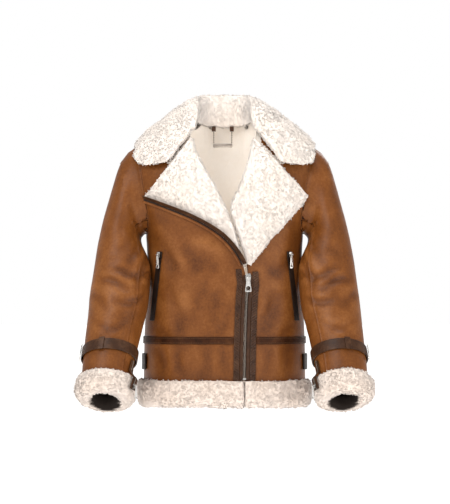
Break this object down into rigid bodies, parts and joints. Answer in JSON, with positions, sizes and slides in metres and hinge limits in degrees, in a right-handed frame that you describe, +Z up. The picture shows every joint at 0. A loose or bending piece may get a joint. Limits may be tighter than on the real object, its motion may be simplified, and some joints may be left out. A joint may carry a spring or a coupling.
{
  "type": "sheepskin flying jacket, filled out as worn",
  "caption": "Cropped sheepskin flying jacket with a wide wool collar and lapels, a slanting front zip, buckled cuff straps and wool hem and cuffs.",
  "frame": {"origin": "middle of the shoulder line, where the wearer's shoulders hold the jacket up", "axes": "+Z up, front of the jacket towards -Y, wearer's left towards +X"},
  "size_m": [0.6532, 0.3661, 0.7],
  "materials": {
    "tan_leather": "satin",
    "brown_leather": "satin",
    "cream_wool": "matte",
    "hardware": "satin"
  },
  "bodies": {
    "jacket": {"front_upper_right": "tan_leather", "front_lower_right": "tan_leather", "sleeve_upper_right": "tan_leather", "sleeve_under_right": "tan_leather", "zip_lip_right": "brown_leather", "placket_right": "brown_leather", "waist_strip_right": "brown_leather", "cuff_strap_right": "brown_leather", "strap_keeper_right": "brown_leather", "cuff_lip_front_right": "brown_leather", "cuff_lip_inner_right": "brown_leather", "pocket_zip_right": "brown_leather", "side_tab_right": "brown_leather", "hanger_tab_right": "brown_leather", "hem_front_right": "cream_wool", "lapel_right": "cream_wool", "cuff_wool_right": "cream_wool", "cuff_zip_right": "hardware", "pocket_right_slider": "hardware", "cuff_right_slider": "hardware", "strap_buckle_right": "hardware", "hanger_chain_right": "hardware", "front_upper_left": "tan_leather", "front_lower_left": "tan_leather", "sleeve_upper_left": "tan_leather", "sleeve_under_left": "tan_leather", "zip_lip_left": "brown_leather", "placket_left": "brown_leather", "waist_strip_left": "brown_leather", "cuff_strap_left": "brown_leather", "strap_keeper_left": "brown_leather", "cuff_lip_front_left": "brown_leather", "cuff_lip_inner_left": "brown_leather", "pocket_zip_left": "brown_leather", "side_tab_left": "brown_leather", "hanger_tab_left": "brown_leather", "hem_front_left": "cream_wool", "lapel_left": "cream_wool", "cuff_wool_left": "cream_wool", "cuff_zip_left": "hardware", "pocket_left_slider": "hardware", "cuff_left_slider": "hardware", "strap_buckle_left": "hardware", "hanger_chain_left": "hardware", "back_upper": "tan_leather", "back_lower": "tan_leather", "lapel_piping": "tan_leather", "waist_strip_back": "brown_leather", "lapel_band": "brown_leather", "hem_back": "cream_wool", "collar": "cream_wool", "main_zip": "hardware", "open_zip_right": "hardware", "main_slider": "hardware", "hanger_plate": "hardware"},
    "main_tab": {"main_pull_tab": "hardware"},
    "pocket_right_tab": {"pocket_right_pull_tab": "hardware"},
    "pocket_left_tab": {"pocket_left_pull_tab": "hardware"},
    "cuff_right_tab": {"cuff_right_pull_tab": "hardware"},
    "cuff_left_tab": {"cuff_left_pull_tab": "hardware"}
  },
  "joints": [
    {"name": "main_tab_swing", "type": "hinge", "parent": "jacket", "child": "main_tab", "pos_m": [0.05186, -0.12186, -0.30911], "axis": [-1, 0, 0], "range_deg": [-2, 110]},
    {"name": "pocket_right_tab_swing", "type": "hinge", "parent": "jacket", "child": "pocket_right_tab", "pos_m": [-0.14711, -0.08672, -0.25914], "axis": [-0.8829, 0.4695, 0], "range_deg": [-2, 110]},
    {"name": "pocket_left_tab_swing", "type": "hinge", "parent": "jacket", "child": "pocket_left_tab", "pos_m": [0.14711, -0.08672, -0.25914], "axis": [-0.8829, -0.4695, 0], "range_deg": [-2, 110]},
    {"name": "cuff_right_tab_swing", "type": "hinge", "parent": "jacket", "child": "cuff_right_tab", "pos_m": [-0.19106, -0.22442, -0.54159], "axis": [-0.7071, -0.7071, 0], "range_deg": [-2, 110]},
    {"name": "cuff_left_tab_swing", "type": "hinge", "parent": "jacket", "child": "cuff_left_tab", "pos_m": [0.19106, -0.22442, -0.54159], "axis": [-0.7071, 0.7071, 0], "range_deg": [-2, 110]}
  ]
}
